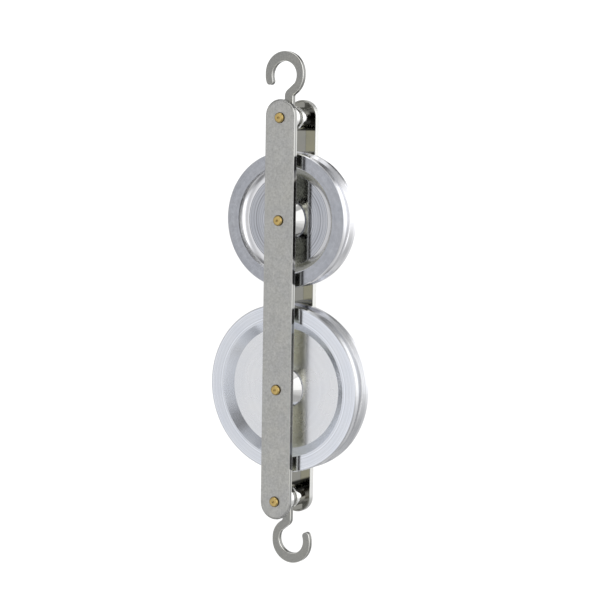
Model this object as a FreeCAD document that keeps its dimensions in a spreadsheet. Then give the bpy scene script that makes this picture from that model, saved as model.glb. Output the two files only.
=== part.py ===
import FreeCAD, Part
import math
import os
import Sketcher

# In-line double pulley block: two sheaves between two side plates, with a
# flat hook pivoted on a cross pin at each end.
#
# Frame: +Z up, +X to the right along the plates' width, +Y away from the
# front. The origin is the saddle of the top hook, where a ring or nail bears
# when the block hangs, in the middle plane between the two plates.

V = FreeCAD.Vector

doc = FreeCAD.newDocument("pulley_demonstrator")
sheet = doc.addObject("Spreadsheet::Sheet", "Dimensions")

# alias, value in millimetres (or degrees), what it is
DIMENSIONS = [
    ("plate_width", 9.73, "side plate, width"),
    ("plate_thick", 2.0, "side plate, thickness"),
    ("plate_gap", 10.55, "clear gap between the side plates"),
    ("plate_over", 0.5, "end pin to the centre of the rounded end"),
    ("plate_round", 0.3, "rounding of the plates' outline edges"),
    ("pitch_top", 29.8, "top pin to small axle"),
    ("pitch_mid", 49.9, "small axle to large axle"),
    ("pitch_low", 33.5, "large axle to bottom pin"),
    ("pin_rad", 1.5, "cross pins and axles, radius"),
    ("pin_proud", 0.8, "pin end beyond the plate's outer face"),
    ("pin_chamfer", 0.35, "chamfer of the pin ends"),
    ("pin_dimple", 0.45, "radius of the centre mark in the pin ends"),
    ("sink_rad", 1.62, "counterbore round each pin end, radius"),
    ("sink_deep", 0.6, "counterbore round each pin end, depth"),
    ("fit_clear", 0.05, "radial running clearance"),
    ("side_clear", 0.15, "side clearance of a sheave or hook, each side"),
    ("bush_rad", 2.5, "bearing bush, outer radius"),
    ("small_rad", 20.0, "small sheave, outer radius"),
    ("small_half", 3.7, "small sheave, half width"),
    ("small_web", 1.75, "small sheave, half thickness of the web"),
    ("small_rim_in", 16.0, "small sheave, inner radius of the rim"),
    ("small_web_out", 13.4, "small sheave, outer radius of the flat web"),
    ("small_foot", 2.45, "small sheave, half thickness at the foot of the rim"),
    ("small_cove", 0.6, "small sheave, radius of the cove at the foot of the rim"),
    ("large_rad", 25.0, "large sheave, outer radius"),
    ("large_half", 3.9, "large sheave, half width"),
    ("large_web", 1.9, "large sheave, half thickness of the web"),
    ("large_rim_in", 20.5, "large sheave, inner radius of the rim"),
    ("large_web_out", 18.0, "large sheave, outer radius of the flat web"),
    ("groove_half", 2.2, "rope groove, half width at the mouth"),
    ("groove_bevel", 0.8, "rope groove, bevel of the mouth"),
    ("groove_deep", 3.1, "rope groove, depth"),
    ("groove_root", 0.55, "rope groove, half width at the root"),
    ("rim_chamfer", 0.3, "chamfer of the rims' outer edges"),
    ("cone_big", 6.0, "sheave spacer, radius beside the sheave"),
    ("cone_end", 3.7, "sheave spacer, radius at the plate"),
    ("cone_lip", 0.35, "spacers, width of the cylindrical lip"),
    ("knob_big", 3.5, "hook spacer, radius beside the hook"),
    ("knob_end", 3.25, "hook spacer, radius at the plate"),
    ("hook_thick", 1.8, "hook, thickness"),
    ("hook_shift", 0.5, "hook, distance of its middle plane in front of the block's"),
    ("hook_side", 2.28, "hook, bowl centre to the side of the pin"),
    ("hook_low", 12.4, "hook, pin to the centre of the throat"),
    ("hook_rise", 0.6, "hook, extra height of the crown's centre"),
    ("hook_out", 6.45, "hook, outer radius"),
    ("hook_throat", 4.15, "hook, throat radius"),
    ("hook_tip", 10.7, "hook, pin to the level of the tip's centre"),
    ("hook_eye", 3.1, "hook, outer radius of the eye"),
    ("hook_left", 2.05, "hook, shank edge on the throat's side"),
    ("hook_right", 0.75, "hook, shank edge on the back"),
    ("hook_round", 0.3, "hook, rounding of its edges"),
    ("hook_blend", 0.8, "hook, fillets of the outline beside the shank"),
    ("hook_corner", 1.6, "hook, fillet between the throat and the crank"),
    ("hook_shoulder", 2.4, "hook, outer bend between the crank and the shank"),
    ("hook_slope", 40.0, "hook, slope of the crank's inner side, in degrees"),
    ("hook_flank", 9.15, "hook, level of that side above the pin's centre"),
]
for row, (alias, value, note) in enumerate(DIMENSIONS, start=1):
    sheet.set("A%d" % row, note)
    sheet.set("B%d" % row, repr(value))
    sheet.setAlias("B%d" % row, alias)
doc.recompute()
D = {alias: float(getattr(sheet, alias)) for alias, _, _ in DIMENSIONS}


def ref(expression):
    """Names from the sheet, written out as cell references."""
    for name in sorted(D, key=len, reverse=True):
        expression = expression.replace("<%s>" % name, "Dimensions." + name)
    return expression


# where the pins and axles lie, as expressions in the sheet
X_PINS = "<hook_side>"
Z_TOP = "-(<hook_low> + <hook_throat>)"
Z_SMALL = Z_TOP + " - <pitch_top>"
Z_LARGE = Z_SMALL + " - <pitch_mid>"
Z_BOTTOM = Z_LARGE + " - <pitch_low>"

bodies = []


def new_body(label, x="0", y="0", z="0"):
    body = doc.addObject("PartDesign::Body", label)
    body.Label = label
    for key, expression in (("x", x), ("y", y), ("z", z)):
        body.setExpression("Placement.Base." + key, ref("(%s) * 1 mm" % expression))
    bodies.append(body)
    return body


def new_sketch(body, name, role, lift=None):
    sketch = body.newObject("Sketcher::SketchObject", body.Label + "_" + name)
    plane = [o for o in body.Origin.OriginFeatures if o.Role == role][0]
    sketch.AttachmentSupport = (plane, [""])
    sketch.MapMode = "FlatFace"
    if lift is not None:
        sketch.setExpression("AttachmentOffset.Base.z", ref("(%s) * 1 mm" % lift))
    return sketch


def size(sketch, constraint, expression):
    """Adds a dimension to a sketch and binds it to the sheet."""
    index = sketch.addConstraint(constraint)
    sketch.setExpression("Constraints[%d]" % index, ref("(%s) * 1 mm" % expression))
    return index


def add_circle(sketch, u, v, radius, u_exp, v_exp, r_exp):
    g = sketch.addGeometry(Part.Circle(V(u, v, 0), V(0, 0, 1), radius), False)
    size(sketch, Sketcher.Constraint("Radius", g, radius), r_exp)
    for axis, value, exp in (("DistanceX", u, u_exp), ("DistanceY", v, v_exp)):
        if abs(value) < 1e-9:
            other = -2 if axis == "DistanceX" else -1
            sketch.addConstraint(Sketcher.Constraint("PointOnObject", g, 3, other))
        else:
            sign = value < 0
            text = "-(%s)" % exp if sign else exp
            ends = (g, 3, -1, 1) if sign else (-1, 1, g, 3)
            size(sketch, Sketcher.Constraint(axis, *ends, abs(value)), text)
    return g


def close(sketch, ids):
    for a, b in zip(ids, ids[1:] + ids[:1]):
        sketch.addConstraint(Sketcher.Constraint("Coincident", a, 2, b, 1))


def add_polygon(sketch, points):
    """Closed polygon. Each point is (u, v, u expression, v expression); each
    corner is placed from the sketch's origin."""
    ids = []
    n = len(points)
    for i in range(n):
        a, b = points[i], points[(i + 1) % n]
        ids.append(sketch.addGeometry(
            Part.LineSegment(V(a[0], a[1], 0), V(b[0], b[1], 0)), False))
    close(sketch, ids)
    for g, (u, v, u_exp, v_exp) in zip(ids, points):
        for axis, value, exp in (("DistanceX", u, u_exp), ("DistanceY", v, v_exp)):
            if abs(value) < 1e-9:
                other = -2 if axis == "DistanceX" else -1
                sketch.addConstraint(Sketcher.Constraint("PointOnObject", g, 1, other))
            elif value < 0:
                size(sketch, Sketcher.Constraint(axis, g, 1, -1, 1, -value), "-(%s)" % exp)
            else:
                size(sketch, Sketcher.Constraint(axis, -1, 1, g, 1, value), exp)
    return ids


def value_of(expression):
    """The number that an expression of the sheet comes to."""
    text = ref(expression)
    for name in sorted(D, key=len, reverse=True):
        text = text.replace("Dimensions." + name, repr(D[name]))
    probe.set("A1", "=" + text)
    doc.recompute()
    return float(probe.get("A1"))


probe = doc.addObject("Spreadsheet::Sheet", "Working")


def points_of(pairs):
    return [(value_of(u), value_of(v), u, v) for u, v in pairs]


def revolve(body, name, pairs):
    """Turns a closed profile, given as (radius, distance along Y), about Y."""
    sketch = new_sketch(body, name + "_profile", "XY_Plane")
    add_polygon(sketch, points_of(pairs))
    turned = body.newObject("PartDesign::Revolution", body.Label + "_" + name)
    turned.Profile = sketch
    turned.ReferenceAxis = (sketch, ["V_Axis"])
    turned.Angle = 360.0
    body.Tip = turned
    return turned


def round_edges(body, feature, name, radius, wanted):
    """Rounds the edges of a feature that a test picks out."""
    doc.recompute()
    names = ["Edge%d" % (i + 1) for i, e in enumerate(feature.Shape.Edges) if wanted(e)]
    if not names:
        raise RuntimeError("no edges to round on " + body.Label)
    rounding = body.newObject("PartDesign::Fillet", body.Label + "_" + name)
    rounding.Base = (feature, names)
    rounding.setExpression("Radius", ref("(%s) * 1 mm" % radius))
    body.Tip = rounding
    return rounding


def flat_at(edge, levels):
    """True for an edge that lies in one of the planes y = level."""
    box = edge.BoundBox
    return box.YLength < 1e-6 and any(abs(box.YMin - y) < 1e-6 for y in levels)


# ---------------------------------------------------------------- side plates
# A strip with full-radius ends, sawn and edge-rounded, with four holes for
# the pins. Each hole is counterbored on the outer face, so a dark ring shows
# round the pin end.

HOLES = ["0", "-<pitch_top>", "-(<pitch_top> + <pitch_mid>)",
         "-(<pitch_top> + <pitch_mid> + <pitch_low>)"]


def side_plate(label, front):
    if front:
        y = "-<plate_gap> / 2"
    else:
        y = "<plate_gap> / 2 + <plate_thick>"
    body = new_body(label, X_PINS, y, Z_TOP)
    half = D["plate_width"] / 2
    top = D["plate_over"]
    low = -(D["pitch_top"] + D["pitch_mid"] + D["pitch_low"] + D["plate_over"])
    outline = new_sketch(body, "outline", "XZ_Plane")
    a = outline.addGeometry(Part.LineSegment(V(half, low, 0), V(half, top, 0)), False)
    b = outline.addGeometry(Part.ArcOfCircle(
        Part.Circle(V(0, top, 0), V(0, 0, 1), half), 0, math.pi), False)
    c = outline.addGeometry(Part.LineSegment(V(-half, top, 0), V(-half, low, 0)), False)
    d = outline.addGeometry(Part.ArcOfCircle(
        Part.Circle(V(0, low, 0), V(0, 0, 1), half), math.pi, 2 * math.pi), False)
    for first, second in ((a, b), (b, c), (c, d), (d, a)):
        outline.addConstraint(Sketcher.Constraint("Tangent", first, 2, second, 1))
    outline.addConstraint(Sketcher.Constraint("PointOnObject", b, 3, -2))
    outline.addConstraint(Sketcher.Constraint("PointOnObject", d, 3, -2))
    size(outline, Sketcher.Constraint("Radius", b, half), "<plate_width> / 2")
    size(outline, Sketcher.Constraint("DistanceY", -1, 1, b, 3, top), "<plate_over>")
    size(outline, Sketcher.Constraint("DistanceY", d, 3, -1, 1, -low),
         "<pitch_top> + <pitch_mid> + <pitch_low> + <plate_over>")
    strip = body.newObject("PartDesign::Pad", label + "_strip")
    strip.Profile = outline
    strip.setExpression("Length", ref("<plate_thick> * 1 mm"))
    body.Tip = strip
    rounding = round_edges(body, strip, "edges", "<plate_round>",
                           lambda e: flat_at(e, (0.0, -D["plate_thick"])))
    doc.recompute()
    before = rounding.Shape.Volume

    drill = new_sketch(body, "holes", "XZ_Plane")
    for h in HOLES:
        add_circle(drill, 0, value_of(h), D["pin_rad"], "0", h, "<pin_rad>")
    holes = body.newObject("PartDesign::Pocket", label + "_holes")
    holes.Profile = drill
    holes.Type = "ThroughAll"
    holes.SideType = "Symmetric"
    body.Tip = holes
    doc.recompute()
    after = holes.Shape.Volume
    if before - after < 4 * math.pi * D["pin_rad"] ** 2 * D["plate_thick"] * 0.99:
        raise RuntimeError("the pin holes cut nothing in " + label)

    # the sketch's normal is -Y, so a positive lift lies further forward
    lift = "<plate_thick>" if front else "0"
    ring = new_sketch(body, "sinks", "XZ_Plane", lift)
    for h in HOLES:
        add_circle(ring, 0, value_of(h), D["sink_rad"], "0", h, "<sink_rad>")
    sinks = body.newObject("PartDesign::Pocket", label + "_sinks")
    sinks.Profile = ring
    sinks.setExpression("Length", ref("<sink_deep> * 1 mm"))
    sinks.Reversed = not front
    body.Tip = sinks
    doc.recompute()
    if after - sinks.Shape.Volume < 1.0:
        raise RuntimeError("the counterbores cut nothing in " + label)
    return body


side_plate("front_plate", True)
side_plate("rear_plate", False)

# ------------------------------------------------------------ pins and axles
# Plain brass rods through both plates. Each end stands a little proud, is
# chamfered and has a small turned centre mark.


def rod(label, z):
    body = new_body(label, X_PINS, "0", z)
    end = "<plate_gap> / 2 + <plate_thick> + <pin_proud>"
    revolve(body, "rod", [
        ("0", "-(%s) + 0.3" % end),
        ("<pin_dimple>", "-(%s)" % end),
        ("<pin_rad> - <pin_chamfer>", "-(%s)" % end),
        ("<pin_rad>", "-(%s) + <pin_chamfer>" % end),
        ("<pin_rad>", "%s - <pin_chamfer>" % end),
        ("<pin_rad> - <pin_chamfer>", end),
        ("<pin_dimple>", end),
        ("0", "%s - 0.3" % end),
    ])
    return body


rod("top_pin", Z_TOP)
rod("small_axle", Z_SMALL)
rod("large_axle", Z_LARGE)
rod("bottom_pin", Z_BOTTOM)

# -------------------------------------------------------------------- sheaves
# Turned discs with a V groove in the rim and a wide recess in each face. The
# bore is a running fit on the bearing bush.


def groove(rad):
    """The rope groove's corners, from the rear mouth to the front mouth."""
    return [
        (rad, "<groove_half>"),
        ("%s - <groove_bevel>" % rad, "<groove_half> - <groove_bevel>"),
        ("%s - <groove_deep> + 0.25" % rad, "<groove_root>"),
        ("%s - <groove_deep>" % rad, "<groove_root> - 0.25"),
        ("%s - <groove_deep>" % rad, "-(<groove_root> - 0.25)"),
        ("%s - <groove_deep> + 0.25" % rad, "-<groove_root>"),
        ("%s - <groove_bevel>" % rad, "-(<groove_half> - <groove_bevel>)"),
        (rad, "-<groove_half>"),
    ]


def small_sheave():
    """A flat web, a shallow slope round it and a coved wall under the rim."""
    body = new_body("small_sheave", X_PINS, "0", Z_SMALL)
    bore = "<bush_rad> + <fit_clear>"
    upper = [(bore, "<small_web>"),
             ("<small_web_out>", "<small_web>"),
             ("<small_rim_in>", "<small_foot>"),
             ("<small_rim_in>", "<small_half>"),
             ("<small_rad> - <rim_chamfer>", "<small_half>"),
             ("<small_rad>", "<small_half> - <rim_chamfer>")]
    lower = [(r, "-(%s)" % y) for r, y in upper[::-1]]
    disc = revolve(body, "disc", upper + groove("<small_rad>") + lower)

    def foot(edge):
        return (flat_at(edge, (D["small_foot"], -D["small_foot"]))
                and abs(edge.Curve.Radius - D["small_rim_in"]) < 1e-6)

    doc.recompute()
    before = disc.Shape.Volume
    cove = round_edges(body, disc, "cove", "<small_cove>", foot)
    doc.recompute()
    if cove.Shape.Volume - before < 4.0:
        raise RuntimeError("the coves add nothing to " + body.Label)
    return body


def large_sheave():
    """The recess wall is a plain cone."""
    body = new_body("large_sheave", X_PINS, "0", Z_LARGE)
    bore = "<bush_rad> + <fit_clear>"
    upper = [(bore, "<large_web>"),
             ("<large_web_out>", "<large_web>"),
             ("<large_rim_in>", "<large_half>"),
             ("<large_rad> - <rim_chamfer>", "<large_half>"),
             ("<large_rad>", "<large_half> - <rim_chamfer>")]
    lower = [(r, "-(%s)" % y) for r, y in upper[::-1]]
    revolve(body, "disc", upper + groove("<large_rad>") + lower)
    return body


small_sheave()
large_sheave()

# ------------------------------------------------------------ bearing bushes
# One sleeve in each sheave, held endwise between the two cones.


def bush(label, z, web):
    body = new_body(label, X_PINS, "0", z)
    end = "%s + <side_clear>" % web
    revolve(body, "sleeve", [
        ("<pin_rad>", "-(%s)" % end), ("<bush_rad>", "-(%s)" % end),
        ("<bush_rad>", end), ("<pin_rad>", end)])
    return body


bush("small_bush", Z_SMALL, "<small_web>")
bush("large_bush", Z_LARGE, "<large_web>")

# -------------------------------------------------------------------- spacers
# Turned cones that fill the gap between a plate and a sheave or a hook. The
# wide end has a short lip; the narrow end stands on the plate.


def spacer(label, z, side, start, big, end):
    """side is -1 in front and +1 behind; start is the wide end's distance
    from the block's middle plane."""
    body = new_body(label, X_PINS, "0", z)
    s = "" if side > 0 else "-"
    plate = "<plate_gap> / 2"
    pairs = [
        ("<pin_rad>", "%s(%s)" % (s, start)),
        ("%s - 0.15" % big, "%s(%s)" % (s, start)),
        (big, "%s(%s + 0.15)" % (s, start)),
        (big, "%s(%s + <cone_lip>)" % (s, start)),
        (end, "%s(%s)" % (s, plate)),
        ("<pin_rad>", "%s(%s)" % (s, plate)),
    ]
    revolve(body, "cone", pairs)
    return body


for station, z, web in (("small", Z_SMALL, "<small_web>"), ("large", Z_LARGE, "<large_web>")):
    start = "%s + <side_clear>" % web
    spacer(station + "_front_spacer", z, -1, start, "<cone_big>", "<cone_end>")
    spacer(station + "_rear_spacer", z, 1, start, "<cone_big>", "<cone_end>")
for station, z in (("top", Z_TOP), ("bottom", Z_BOTTOM)):
    spacer(station + "_front_spacer", z, -1,
           "<hook_shift> + <hook_thick> / 2 + <side_clear>", "<knob_big>", "<knob_end>")
    spacer(station + "_rear_spacer", z, 1,
           "-<hook_shift> + <hook_thick> / 2 + <side_clear>", "<knob_big>", "<knob_end>")

# ---------------------------------------------------------------------- hooks
# Cut from flat stock and edge-rounded: an eye, a short cranked shank and an
# open bowl, thickest at the crown. The bottom hook is the top one turned half
# way round about the pin's direction.


def arc(centre, radius, start, end):
    """A counter-clockwise arc between two points, as sketch geometry."""
    a0 = math.atan2(start[1] - centre[1], start[0] - centre[0])
    a1 = math.atan2(end[1] - centre[1], end[0] - centre[0])
    if a1 <= a0:
        a1 += 2 * math.pi
    return Part.ArcOfCircle(Part.Circle(V(centre[0], centre[1], 0), V(0, 0, 1), radius), a0, a1)


def toward(a, b, distance):
    """The point at a distance from a on the way to b."""
    length = math.hypot(b[0] - a[0], b[1] - a[1])
    return (a[0] + (b[0] - a[0]) * distance / length, a[1] + (b[1] - a[1]) * distance / length)


def hook_outline():
    """Corners and centres of the outline, with the eye at (0, 0)."""
    side, low, rise = -D["hook_side"], D["hook_low"], D["hook_rise"]
    out, throat, eye = D["hook_out"], D["hook_throat"], D["hook_eye"]
    left, right = -D["hook_left"], D["hook_right"]
    p = {}
    p["bowl"] = (side, low)
    p["crown"] = (side, low + rise)
    # fillets between the eye and the shank
    blend = D["hook_blend"]
    p["blend"] = blend
    cz = math.sqrt((eye + blend) ** 2 - (right + blend) ** 2)
    p["fr"] = (right + blend, cz)
    p["fr_eye"] = toward((0, 0), p["fr"], eye)
    p["fr_line"] = (right, cz)
    cz = math.sqrt((eye + blend) ** 2 - (left - blend) ** 2)
    p["fl"] = (left - blend, cz)
    p["fl_eye"] = toward((0, 0), p["fl"], eye)
    p["fl_line"] = (left, cz)
    # fillet between the shank's back and the bowl
    cz = low - math.sqrt((out + blend) ** 2 - (right + blend - side) ** 2)
    p["fn"] = (right + blend, cz)
    p["fn_line"] = (right, cz)
    p["fn_bowl"] = toward(p["bowl"], p["fn"], out)
    # outside of the bowl
    p["r0"], p["r1"] = (side + out, low), (side + out, low + rise)
    p["l1"], p["l0"] = (side - out, low + rise), (side - out, low)
    # round tip
    p["tip_rad"] = (out - throat) / 2
    middle = (out + throat) / 2
    dz = D["hook_tip"] - low
    p["tip"] = (side - math.sqrt(middle ** 2 - dz ** 2), D["hook_tip"])
    p["tip_out"] = toward(p["bowl"], p["tip"], out)
    p["tip_in"] = toward(p["bowl"], p["tip"], throat)
    # inside of the crank: a sloping flank between the throat and the shank
    slope = math.radians(D["hook_slope"])
    d = (math.cos(slope), math.sin(slope))
    n = (-d[1], d[0])
    start = (0.0, D["hook_flank"])
    corner = D["hook_corner"]
    p["corner"] = corner
    k = n[0] * (side - start[0]) + n[1] * (low - start[1])
    phi = math.atan2(n[1], n[0]) - math.acos((corner - k) / (throat - corner))
    p["fc"] = (side + (throat - corner) * math.cos(phi), low + (throat - corner) * math.sin(phi))
    p["fc_bowl"] = toward(p["bowl"], p["fc"], throat)
    p["fc_flank"] = (p["fc"][0] - corner * n[0], p["fc"][1] - corner * n[1])
    # shoulder between the flank and the shank
    shoulder = D["hook_shoulder"]
    p["shoulder"] = shoulder
    meet = (left, start[1] + (left - start[0]) * math.tan(slope))
    run = shoulder * math.tan((math.pi / 2 - slope) / 2)
    p["fs_flank"] = (meet[0] + run * d[0], meet[1] + run * d[1])
    p["fs_line"] = (left, meet[1] - run)
    p["fs"] = (left + shoulder, meet[1] - run)
    return p


def hook(label, z, turned):
    body = new_body(label, X_PINS, "-<hook_shift>", z)
    p = hook_outline()
    s = -1.0 if turned else 1.0

    def q(name):
        return (s * p[name][0], s * p[name][1])

    sketch = new_sketch(body, "outline", "XZ_Plane")

    def add(geometry):
        return sketch.addGeometry(geometry, False)

    def line(a, b):
        return add(Part.LineSegment(V(*q(a), 0), V(*q(b), 0)))

    # Counter-clockwise round the outline. An arc that turns the other way is
    # still stored counter-clockwise, so its two ends change places.
    chain = [
        ("eye", add(arc((0, 0), D["hook_eye"], q("fl_eye"), q("fr_eye"))), 1, 2),
        ("fr", add(arc(q("fr"), p["blend"], q("fr_line"), q("fr_eye"))), 2, 1),
        ("back", line("fr_line", "fn_line"), 1, 2),
        ("fn", add(arc(q("fn"), p["blend"], q("fn_bowl"), q("fn_line"))), 2, 1),
        ("bowl_r", add(arc(q("bowl"), D["hook_out"], q("fn_bowl"), q("r0"))), 1, 2),
        ("rise_r", line("r0", "r1"), 1, 2),
        ("crown", add(arc(q("crown"), D["hook_out"], q("r1"), q("l1"))), 1, 2),
        ("rise_l", line("l1", "l0"), 1, 2),
        ("bowl_l", add(arc(q("bowl"), D["hook_out"], q("l0"), q("tip_out"))), 1, 2),
        ("tip", add(arc(q("tip"), p["tip_rad"], q("tip_out"), q("tip_in"))), 1, 2),
        ("throat", add(arc(q("bowl"), D["hook_throat"], q("fc_bowl"), q("tip_in"))), 2, 1),
        ("fc", add(arc(q("fc"), p["corner"], q("fc_flank"), q("fc_bowl"))), 2, 1),
        ("flank", line("fc_flank", "fs_flank"), 1, 2),
        ("fs", add(arc(q("fs"), p["shoulder"], q("fs_flank"), q("fs_line"))), 1, 2),
        ("shank", line("fs_line", "fl_line"), 1, 2),
        ("fl", add(arc(q("fl"), p["blend"], q("fl_eye"), q("fl_line"))), 2, 1),
    ]
    g = {name: index for name, index, _, _ in chain}
    for (_, a, _, a_end), (_, b, b_start, _) in zip(chain, chain[1:] + chain[:1]):
        sketch.addConstraint(Sketcher.Constraint("Coincident", a, a_end, b, b_start))
    size(sketch, Sketcher.Constraint("Radius", g["eye"], D["hook_eye"]), "<hook_eye>")
    size(sketch, Sketcher.Constraint("Radius", g["crown"], D["hook_out"]), "<hook_out>")
    size(sketch, Sketcher.Constraint("Radius", g["bowl_r"], D["hook_out"]), "<hook_out>")
    size(sketch, Sketcher.Constraint("Radius", g["bowl_l"], D["hook_out"]), "<hook_out>")
    size(sketch, Sketcher.Constraint("Radius", g["throat"], D["hook_throat"]), "<hook_throat>")
    sketch.addConstraint(Sketcher.Constraint("Coincident", g["eye"], 3, -1, 1))

    def place(name, u, v, u_exp, v_exp):
        for axis, value, exp in (("DistanceX", u, u_exp), ("DistanceY", v, v_exp)):
            if value < 0:
                size(sketch, Sketcher.Constraint(axis, g[name], 3, -1, 1, -value), exp)
            else:
                size(sketch, Sketcher.Constraint(axis, -1, 1, g[name], 3, value), exp)

    for name in ("bowl_r", "bowl_l", "throat"):
        place(name, *q("bowl"), "<hook_side>", "<hook_low>")
    place("crown", *q("crown"), "<hook_side>", "<hook_low> + <hook_rise>")

    plate = body.newObject("PartDesign::Pad", label + "_blank")
    plate.Profile = sketch
    plate.SideType = "Symmetric"
    plate.setExpression("Length", ref("<hook_thick> * 1 mm"))
    body.Tip = plate
    half = D["hook_thick"] / 2
    rounding = round_edges(body, plate, "edges", "<hook_round>",
                           lambda e: flat_at(e, (half, -half)))
    doc.recompute()
    before = rounding.Shape.Volume

    drill = new_sketch(body, "eye_hole", "XZ_Plane")
    add_circle(drill, 0, 0, D["pin_rad"] + D["fit_clear"], "0", "0", "<pin_rad> + <fit_clear>")
    hole = body.newObject("PartDesign::Pocket", label + "_eye_hole")
    hole.Profile = drill
    hole.Type = "ThroughAll"
    hole.SideType = "Symmetric"
    body.Tip = hole
    doc.recompute()
    if before - hole.Shape.Volume < 10.0:
        raise RuntimeError("the eye hole cuts nothing in " + label)
    return body


hook("top_hook", Z_TOP, False)
hook("bottom_hook", Z_BOTTOM, True)

# --------------------------------------------------------------------- output
doc.recompute()
for obj in doc.Objects:
    if {"Invalid", "Error"} & set(obj.State):
        raise RuntimeError("%s failed: %s" % (obj.Label, obj.State))
os.makedirs("parts", exist_ok=True)
for body in bodies:
    shape = body.Shape
    if shape.isNull() or not shape.isValid() or len(shape.Solids) != 1:
        raise RuntimeError("%s is not one valid solid" % body.Label)
for body in bodies:
    body.Shape.exportStep("parts/%s.step" % body.Label)
    box = body.Shape.BoundBox
    print("%-22s %9.2f mm3  x %7.2f %7.2f  y %6.2f %6.2f  z %8.2f %8.2f" % (
        body.Label, body.Shape.Volume, box.XMin, box.XMax, box.YMin, box.YMax,
        box.ZMin, box.ZMax))
print(len(bodies), "parts")
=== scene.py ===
import math

import bpy
from mathutils import Matrix, Vector

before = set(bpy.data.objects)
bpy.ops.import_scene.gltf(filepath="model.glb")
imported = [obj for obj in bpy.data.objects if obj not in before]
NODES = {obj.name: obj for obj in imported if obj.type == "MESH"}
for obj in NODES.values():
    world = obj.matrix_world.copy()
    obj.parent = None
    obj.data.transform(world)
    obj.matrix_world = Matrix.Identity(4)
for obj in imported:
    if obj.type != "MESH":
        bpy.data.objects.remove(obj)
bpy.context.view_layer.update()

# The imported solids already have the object's real shape, so none is replaced.
# This script gives each one its metal, and sets up the camera and the studio.

MM = 0.001

# centres of the pins and axles in the row's frame, in millimetres
PIN_X = 2.28
STATION = {"top": -16.55, "small": -46.35, "large": -96.25, "bottom": -129.75}


# ------------------------------------------------------------------ node maths
class F:
    """A number in a node tree, so that a formula can be written as one."""

    def __init__(self, tree, socket):
        self.tree, self.socket = tree, socket

    def op(self, kind, *others, clamp=False):
        node = self.tree.nodes.new("ShaderNodeMath")
        node.operation = kind
        node.use_clamp = clamp
        for i, v in enumerate((self,) + others):
            if isinstance(v, F):
                self.tree.links.new(v.socket, node.inputs[i])
            else:
                node.inputs[i].default_value = v
        return F(self.tree, node.outputs[0])

    def __add__(self, o): return self.op("ADD", o)
    def __radd__(self, o): return self.op("ADD", o)
    def __sub__(self, o): return self.op("SUBTRACT", o)
    def __mul__(self, o): return self.op("MULTIPLY", o)
    def __rmul__(self, o): return self.op("MULTIPLY", o)
    def __truediv__(self, o): return self.op("DIVIDE", o)
    def __neg__(self): return self.op("MULTIPLY", -1.0)
    def __rsub__(self, o): return self.op("MULTIPLY", -1.0).op("ADD", o)

    def step(self, low, high):
        """0 below low and 1 above high, with a smooth ramp between them."""
        node = self.tree.nodes.new("ShaderNodeMapRange")
        node.interpolation_type = "SMOOTHSTEP"
        self.tree.links.new(self.socket, node.inputs["Value"])
        node.inputs["From Min"].default_value = low
        node.inputs["From Max"].default_value = high
        return F(self.tree, node.outputs["Result"])

    def band(self, low, high, soft):
        """1 between low and high, with soft edges."""
        return self.step(low - soft, low + soft) * (1.0 - self.step(high - soft, high + soft))


def put(tree, value, socket):
    if isinstance(value, F):
        tree.links.new(value.socket, socket)
    else:
        socket.default_value = value


# ------------------------------------------------------------------- materials
def start(name):
    mat = bpy.data.materials.new(name)
    mat.use_nodes = True
    tree = mat.node_tree
    shader = tree.nodes["Principled BSDF"]
    shader.inputs["Metallic"].default_value = 1.0
    return mat, tree, shader


def place(tree):
    """The point on the object, in millimetres, as a vector and as numbers."""
    coord = tree.nodes.new("ShaderNodeTexCoord")
    scale = tree.nodes.new("ShaderNodeVectorMath")
    scale.operation = "SCALE"
    scale.inputs["Scale"].default_value = 1000.0
    tree.links.new(coord.outputs["Object"], scale.inputs[0])
    split = tree.nodes.new("ShaderNodeSeparateXYZ")
    tree.links.new(scale.outputs[0], split.inputs[0])
    return scale.outputs[0], [F(tree, split.outputs[i]) for i in range(3)]


def noise(tree, vector, scale, detail=2.0, rough=0.5, distort=0.0):
    """Noise about 0, from -0.5 to 0.5."""
    node = tree.nodes.new("ShaderNodeTexNoise")
    node.inputs["Scale"].default_value = scale
    node.inputs["Detail"].default_value = detail
    node.inputs["Roughness"].default_value = rough
    node.inputs["Distortion"].default_value = distort
    tree.links.new(vector, node.inputs["Vector"])
    return F(tree, node.outputs["Fac"]) - 0.5


def line_noise(tree, w, scale, detail=2.0, rough=0.5):
    """Noise along one number only, from -0.5 to 0.5: lines or rings."""
    node = tree.nodes.new("ShaderNodeTexNoise")
    node.noise_dimensions = "1D"
    node.inputs["Scale"].default_value = scale
    node.inputs["Detail"].default_value = detail
    node.inputs["Roughness"].default_value = rough
    put(tree, w, node.inputs["W"])
    return F(tree, node.outputs["Fac"]) - 0.5


def stretched(tree, vector, scale):
    node = tree.nodes.new("ShaderNodeVectorMath")
    node.operation = "MULTIPLY"
    node.inputs[1].default_value = scale
    tree.links.new(vector, node.inputs[0])
    return node.outputs[0]


def tinted(tree, shader, colour, value, warm=None, shade=(0.5, 0.1, -0.7)):
    """Base colour: the metal's own colour times a value that varies."""
    parts = tree.nodes.new("ShaderNodeCombineColor")
    for i in range(3):
        v = value * colour[i]
        if warm is not None:
            v = v * (1.0 + warm * shade[i])
        put(tree, v, parts.inputs[i])
    tree.links.new(parts.outputs[0], shader.inputs["Base Color"])


def bump(tree, shader, height, distance):
    """Height is in units of the distance, which is in millimetres."""
    node = tree.nodes.new("ShaderNodeBump")
    node.inputs["Strength"].default_value = 1.0
    node.inputs["Distance"].default_value = distance * MM
    put(tree, height, node.inputs["Height"])
    tree.links.new(node.outputs[0], shader.inputs["Normal"])


def about_axis(xyz, station):
    """Distance from the pin's axis, and the angle round it."""
    x, y, z = xyz
    u, v = x - PIN_X, z - STATION[station]
    return (u * u + v * v).op("SQRT"), v.op("ARCTAN2", u)


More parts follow.
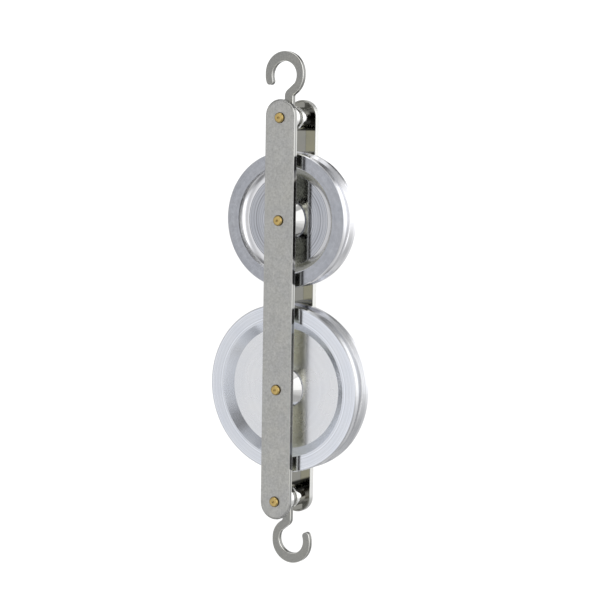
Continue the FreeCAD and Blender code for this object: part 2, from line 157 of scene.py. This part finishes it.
def turned(shader, tree, amount):
    """A lathe's finish: highlights spread across the turning lines."""
    tangent = tree.nodes.new("ShaderNodeTangent")
    tangent.direction_type = "RADIAL"
    tangent.axis = "Y"
    tree.links.new(tangent.outputs[0], shader.inputs["Tangent"])
    shader.inputs["Anisotropic"].default_value = amount
    shader.inputs["Anisotropic Rotation"].default_value = 0.25


def plate_metal():
    """Plated steel, fine-blasted outside and left smooth on the inner face."""
    mat, tree, shader = start("plate_steel")
    vec, (x, y, z) = place(tree)
    depth = y.op("ABSOLUTE")
    inner = 1.0 - depth.step(5.29, 5.36)
    face = depth.step(7.20, 7.26)
    edge = (1.0 - inner) * (1.0 - face)
    rear = y.step(-1.0, 1.0)
    painted_edge_shade = edge * depth.band(5.85, 6.70, 0.10) * (1.0 - rear * 0.75)
    cloud = noise(tree, vec, 0.22, 3.0, 0.6)
    mottle = noise(tree, vec, 0.75, 3.0, 0.7)
    grain = noise(tree, vec, 2.0, 3.0, 0.68)
    drawn = noise(tree, stretched(tree, vec, (3.0, 3.0, 0.10)), 1.0, 3.0, 0.6)
    wear = mottle * 0.34 + grain * 0.80 + drawn * 0.16
    value = 1.0 + cloud * 0.14 + wear * (0.10 + face * 0.90)
    # painted highlight and shade: the edge strips are lightened, the rear plate's far more, for the light they catch,
    # and the middle of each edge strip is darkened; the front plate's inner face is lightened and the rear plate's
    # darkened, standing in for the reflections between the plates
    value = value * (1.0 + edge * (0.05 + rear * 0.45) - painted_edge_shade * 0.50 + inner * (0.66 - rear * 1.04))
    # painted shade: a band of the rear plate's smooth inner face beside each end's spacer is darkened, standing in
    # for the shade and dark reflections there
    dx = x - PIN_X
    high, low = z - STATION["top"], z - STATION["bottom"]
    dullness_and_painted_shade = high.step(-3.9, -3.4) * (1.0 - (high + dx * 0.10).step(1.4, 3.0))
    across = low - dx * 0.37
    dullness_and_painted_shade = dullness_and_painted_shade + across.step(0.0, 1.4) * (1.0 - across.step(3.8, 4.6))
    value = value * (1.0 - dullness_and_painted_shade * inner * rear * 0.92)
    tinted(tree, shader, (0.50, 0.50, 0.485), value, cloud * 0.10 + inner * (0.18 - rear * 0.12),
           (0.36, 0.20, -0.70))
    rough = 0.11 + edge * rear * 0.22 + face * (0.29 + grain * 0.10 + cloud * 0.08)
    put(tree, rough * (1.0 - inner) + (0.05 + drawn * 0.04) * inner, shader.inputs["Roughness"])
    # edges broken by about a third of a millimetre
    beyond = high.op("MAXIMUM", 0.0) - low.op("MINIMUM", 0.0)
    out = (dx * dx + beyond * beyond).op("SQRT")
    broken = ((depth - 6.90).op("MAXIMUM", 0.0)).op("POWER", 2.0) + ((out - 4.55).op("MAXIMUM", 0.0)).op("POWER", 2.0)
    broken = broken + ((5.60 - depth).op("MAXIMUM", 0.0)).op("POWER", 2.0) * (1.0 - inner) * 0.15
    bump(tree, shader, (grain + mottle * 0.6) * face + drawn * 0.01 * inner - broken * 42.0, 0.022)
    return mat


def hook_metal():
    """The hooks' plating: a little darker, with a fine tumbled grain."""
    mat, tree, shader = start("hook_steel")
    vec, xyz = place(tree)
    x, y, z = xyz
    depth = (y + 0.5).op("ABSOLUTE")
    face = depth.step(0.84, 0.88)
    painted_corner_highlight = depth.band(0.62, 0.84, 0.03)
    cloud = noise(tree, vec, 0.30, 3.0, 0.6)
    grain = noise(tree, vec, 2.0, 3.0, 0.68)
    high, low = z - STATION["top"], z - STATION["bottom"]
    eye = 2.0 - (x - PIN_X).op("ABSOLUTE").op("MAXIMUM", high.op("ABSOLUTE")).step(4.2, 5.2)
    eye = eye - (x - PIN_X).op("ABSOLUTE").op("MAXIMUM", low.op("ABSOLUTE")).step(4.2, 5.2)
    # painted highlight: a bright band beside each face corner stands in for light caught on the corner; the edge
    # faces are darkened as painted shade
    value = 1.0 + cloud * 0.20 + grain * (0.20 + face * 0.50) + painted_corner_highlight * 2.0 - (1.0 - face) * 0.30
    tinted(tree, shader, (0.34, 0.34, 0.325), value, cloud * 0.10)
    put(tree, 0.24 + face * 0.10 + grain * 0.08 - eye * 0.10, shader.inputs["Roughness"])
    bump(tree, shader, grain * face * (1.0 - eye * 0.85), 0.016)
    return mat


def small_metal():
    """Turned aluminium, faced with a coarser feed: clear rings from the tool."""
    mat, tree, shader = start("small_sheave_aluminium")
    vec, xyz = place(tree)
    r, angle = about_axis(xyz, "small")
    depth = xyz[1].op("ABSOLUTE")
    web = (1.0 - r.step(13.3, 13.5)) * (1.0 - depth.step(1.80, 1.90))
    rim = depth.step(3.62, 3.68)
    faced = web + rim
    across = r + depth * 1.7
    slope = r.step(13.35, 13.45) * (1.0 - r.step(15.9, 16.1)) * (1.0 - depth.step(2.9, 3.1))
    hollow = (r - 14.5) * (r - 14.5) * slope
    tool = line_noise(tree, across, 2.4, 2.0, 0.65)
    feed = line_noise(tree, across, 4.5, 1.0, 0.5)
    blotch = noise(tree, vec, 0.7, 3.0, 0.65)
    bands = line_noise(tree, across, 0.4, 2.0, 0.6)
    smear = noise(tree, vec, 0.16, 3.0, 0.6)
    hub = 1.0 - r.step(7.0, 12.5)
    rings = tool * (web * 0.75 + rim * 0.16 + hub * 1.1) + feed * (web * 0.55 + rim * 0.15 + hub * 0.5) + bands * (web * 0.30 + rim * 0.22)
    value = 1.0 + rings + smear * 0.14 + blotch * rim * 0.42 - rim * 0.06
    value = value * (1.0 - faced * 0.38)
    tinted(tree, shader, (0.80, 0.805, 0.835), value, smear * 0.06 - faced * 0.06)
    put(tree, 0.15 + (tool * 0.06 + 0.05) * rim - web * 0.03 + smear * 0.05, shader.inputs["Roughness"])
    height = (tool * 0.6 + feed * 0.2 + bands * 0.5) * (web + rim * 0.4) + tool * 0.10 * (1.0 - faced)
    bump(tree, shader, height + hollow * 7.9, 0.012)
    turned(shader, tree, 0.5)
    return mat


def large_metal():
    """Turned aluminium, lighter, faced with a fine feed."""
    mat, tree, shader = start("large_sheave_aluminium")
    vec, xyz = place(tree)
    r, angle = about_axis(xyz, "large")
    depth = xyz[1].op("ABSOLUTE")
    dish = r.step(17.9, 18.1) * (1.0 - r.step(20.4, 20.6)) * (1.0 - depth.step(3.84, 3.90))
    rim = depth.step(3.84, 3.88)
    edge = r.step(21.8, 22.2) * (1.0 - rim)
    across = r + depth * 1.7
    tool = line_noise(tree, across, 2.6, 2.0, 0.6)
    bands = line_noise(tree, across, 0.9, 3.0, 0.62)
    smear = noise(tree, vec, 0.16, 3.0, 0.6)
    value = 1.0 + tool * (0.06 + rim * 0.36 + dish * 0.20 + edge * 0.50) + bands * (0.06 + edge * 0.15) + smear * 0.10
    # painted shade: the dish wall is darkened towards its foot, standing in for the shade in the recess
    value = value * (1.0 - dish * (1.0 - r.step(17.8, 20.9)) * 0.12 - edge * 0.18 - rim * 0.03)
    tinted(tree, shader, (0.85, 0.862, 0.895), value, smear * 0.06 - dish * 0.07 - rim * 0.05)
    flat = 1.0 - r.step(17.8, 18.0)
    put(tree, 0.17 + smear * 0.08 + edge * 0.04 + rim * 0.02 + flat * 0.10 + dish * 0.08, shader.inputs["Roughness"])
    bump(tree, shader, tool * 0.8 + bands * 0.8, 0.006)
    turned(shader, tree, 0.5)
    return mat


def spacer_metal(station):
    """Bright turned steel."""
    mat, tree, shader = start("spacer_bright_" + station)
    vec, xyz = place(tree)
    r, angle = about_axis(xyz, station)
    tool = line_noise(tree, xyz[1], 4.0, 2.0, 0.6)
    smear = noise(tree, vec, 0.5, 2.0, 0.6)
    tinted(tree, shader, (0.86, 0.86, 0.85), 1.0 + tool * 0.10 + smear * 0.08)
    put(tree, 0.08 + smear * 0.06, shader.inputs["Roughness"])
    bump(tree, shader, tool, 0.004)
    turned(shader, tree, 0.3)
    return mat


def pin_metal(station):
    """Turned brass, its finish a little dulled, darker at the rim as painted shade."""
    mat, tree, shader = start("pin_brass_" + station)
    vec, xyz = place(tree)
    r, angle = about_axis(xyz, station)
    tool = line_noise(tree, r, 7.0, 2.0, 0.6)
    dullness_and_painted_shade = noise(tree, vec, 1.1, 3.0, 0.6)
    edge = r.step(1.38, 1.52)
    # painted shade: beyond about 1.4 mm from the axis, at a pin's rim and side, the brass is darkened, standing in
    # for the dark ring of shade round the pin's end
    tinted(tree, shader, (0.60, 0.44, 0.17), 1.0 + tool * 0.22 + dullness_and_painted_shade * 0.30 - edge * 0.45, dullness_and_painted_shade * 0.14)
    put(tree, 0.22 + dullness_and_painted_shade * 0.12, shader.inputs["Roughness"])
    bump(tree, shader, tool - r.op("POWER", 4.0) * 3.5, 0.008)
    turned(shader, tree, 0.5)
    return mat


def give(mat, *names):
    for name in names:
        for slot in NODES[name].material_slots:
            slot.material = mat


give(plate_metal(), "front_plate", "rear_plate")
give(hook_metal(), "top_hook", "bottom_hook")
give(small_metal(), "small_sheave")
give(large_metal(), "large_sheave")
for station in ("top", "small", "large", "bottom"):
    give(spacer_metal(station), station + "_front_spacer", station + "_rear_spacer")
for station, node in (("top", "top_pin"), ("small", "small_axle"), ("large", "large_axle"),
                      ("bottom", "bottom_pin")):
    give(pin_metal(station), node)
for station in ("small", "large"):
    give(pin_metal(station), station + "_bush")

# ---------------------------------------------------------------------- camera
# Azimuth 30.5 degrees, elevation 6 degrees, half a metre away.
AZ, EL, ROLL = math.radians(30.48), math.radians(6.031), math.radians(0.874)
SHIFT_U, SHIFT_V, AWAY, FOCAL = 3.044, 3.549, 502.8, 1695.085

back = Vector((math.sin(AZ) * math.cos(EL), -math.cos(AZ) * math.cos(EL), math.sin(EL)))
side = Vector((math.cos(AZ), math.sin(AZ), 0.0))
up = back.cross(side)
right = side * math.cos(ROLL) + up * math.sin(ROLL)
above = up * math.cos(ROLL) - side * math.sin(ROLL)
eye = right * SHIFT_U + above * SHIFT_V + back * AWAY + Vector((2.28, 0.0, -73.781))

cam_data = bpy.data.cameras.new("camera")
cam_data.sensor_width = 36.0
cam_data.lens = FOCAL / 600.0 * 36.0
cam_data.clip_start, cam_data.clip_end = 0.02, 20.0
camera = bpy.data.objects.new("camera", cam_data)
camera.matrix_world = Matrix((
    (right.x, above.x, back.x, eye.x * MM),
    (right.y, above.y, back.y, eye.y * MM),
    (right.z, above.z, back.z, eye.z * MM),
    (0.0, 0.0, 0.0, 1.0)))
bpy.context.scene.collection.objects.link(camera)
bpy.context.scene.camera = camera

# ----------------------------------------------------------------------- floor
# The block hangs by its hook, well above a plain white floor.
FLOOR_Z = -0.30
mesh = bpy.data.meshes.new("floor")
mesh.from_pydata([(-6, -6, FLOOR_Z), (6, -6, FLOOR_Z), (6, 6, FLOOR_Z), (-6, 6, FLOOR_Z)], [],
                 [(0, 1, 2, 3)])
floor = bpy.data.objects.new("floor", mesh)
bpy.context.scene.collection.objects.link(floor)
white = bpy.data.materials.new("floor_white")
white.use_nodes = True
white.node_tree.nodes["Principled BSDF"].inputs["Base Color"].default_value = (0.93, 0.93, 0.93, 1.0)
white.node_tree.nodes["Principled BSDF"].inputs["Roughness"].default_value = 0.9
mesh.materials.append(white)
floor.visible_glossy = False

# ---------------------------------------------------------------------- studio
# A white tent with a large soft light on the right, greyer panels behind and
# on the left, and a darker gap in front where the camera looks in.
world = bpy.data.worlds.new("studio")
bpy.context.scene.world = world
world.use_nodes = True
tree = world.node_tree
tree.nodes.clear()
coord = tree.nodes.new("ShaderNodeTexCoord")
split = tree.nodes.new("ShaderNodeSeparateXYZ")
tree.links.new(coord.outputs["Generated"], split.inputs[0])
x, y, z = (F(tree, split.outputs[i]) for i in range(3))
# 0 in front, 90 on the right, 180 behind, -90 on the left
turn = x.op("ARCTAN2", -y) * (180.0 / math.pi)
rise = z.op("ARCSINE") * (180.0 / math.pi)

round_to = turn.op("ABSOLUTE")
light = 0.70 + turn.step(-37.0, -24.0) * 0.24                                      # front left panel
light = light - turn.band(-125.0, -58.0, 6.0) * rise.band(-45.0, 45.0, 8.0) * 0.08
light = light + turn.band(-96.0, -68.0, 4.0) * rise.band(-30.0, 30.0, 8.0) * 0.16
light = light + turn.band(-154.0, -144.0, 3.0) * rise.band(-14.0, 2.0, 4.0) * 0.24 # strip light, left
front = turn.band(-16.0, 53.0, 4.0)
light = light - turn.band(-16.0, -2.0, 4.0) * 0.30
light = light + turn.band(3.0, 21.0, 2.0) * rise.band(-19.0, 19.0, 3.0) * 0.65
light = light - front * rise.step(20.0, 27.0) * 0.45
light = light - turn.band(-16.0, 30.0, 4.0) * (1.0 - rise.step(-28.0, -21.0)) * 0.42
light = light - turn.band(24.0, 38.0, 3.0) * rise.band(-16.0, 22.0, 4.0) * 0.44
light = light - turn.band(39.0, 55.0, 3.0) * (0.22 - rise.step(20.0, 27.0) * 0.22)
side = turn.band(56.0, 163.0, 2.5)
low = (1.0 - rise.step(-42.0, -26.0)) * 0.20
light = light + side * (rise.step(-26.0, 4.0) * 0.95 - 0.30 - low) * (1.0 - rise.step(44.0, 50.0))
light = light - turn.band(64.0, 118.0, 8.0) * rise.step(-26.0, 4.0) * 0.46
light = light - round_to.step(163.0, 169.0) * 0.24                                 # panel behind
light = light - round_to.step(165.0, 170.0) * rise.band(21.0, 31.0, 2.0) * 0.50
light = light + rise.step(66.0, 74.0) * 0.6                                        # soft light, above
core = ((turn - 29.5) / 9.5).op("POWER", 2.0) + ((rise - 12.0) / 32.0).op("POWER", 2.0)
stand = turn.band(21.0, 34.0, 2.5) * rise.band(-48.0, 10.0, 5.0) * 0.70
gap = (1.0 - core.step(0.8, 1.35)).op("MAXIMUM", stand)                            # where the camera looks in
light = light.op("MAXIMUM", 0.05) * (1.0 - gap * 0.95)

path = tree.nodes.new("ShaderNodeLightPath")
glossy = F(tree, path.outputs["Is Glossy Ray"])
level = light * glossy + (1.0 - glossy) * 1.18
warm = gap * glossy
surface = tree.nodes.new("ShaderNodeBackground")
colour = tree.nodes.new("ShaderNodeCombineColor")
for i in range(3):
    put(tree, level * (1.0 + warm * (0.20, 0.05, -0.20)[i]), colour.inputs[i])
tree.links.new(colour.outputs[0], surface.inputs["Color"])
out = tree.nodes.new("ShaderNodeOutputWorld")
tree.links.new(surface.outputs[0], out.inputs["Surface"])
world.cycles.sampling_method = "NONE"

scene = bpy.context.scene
scene.view_settings.view_transform = "Standard"
scene.view_settings.look = "None"
scene.view_settings.exposure = 0.0
scene.view_settings.gamma = 1.0
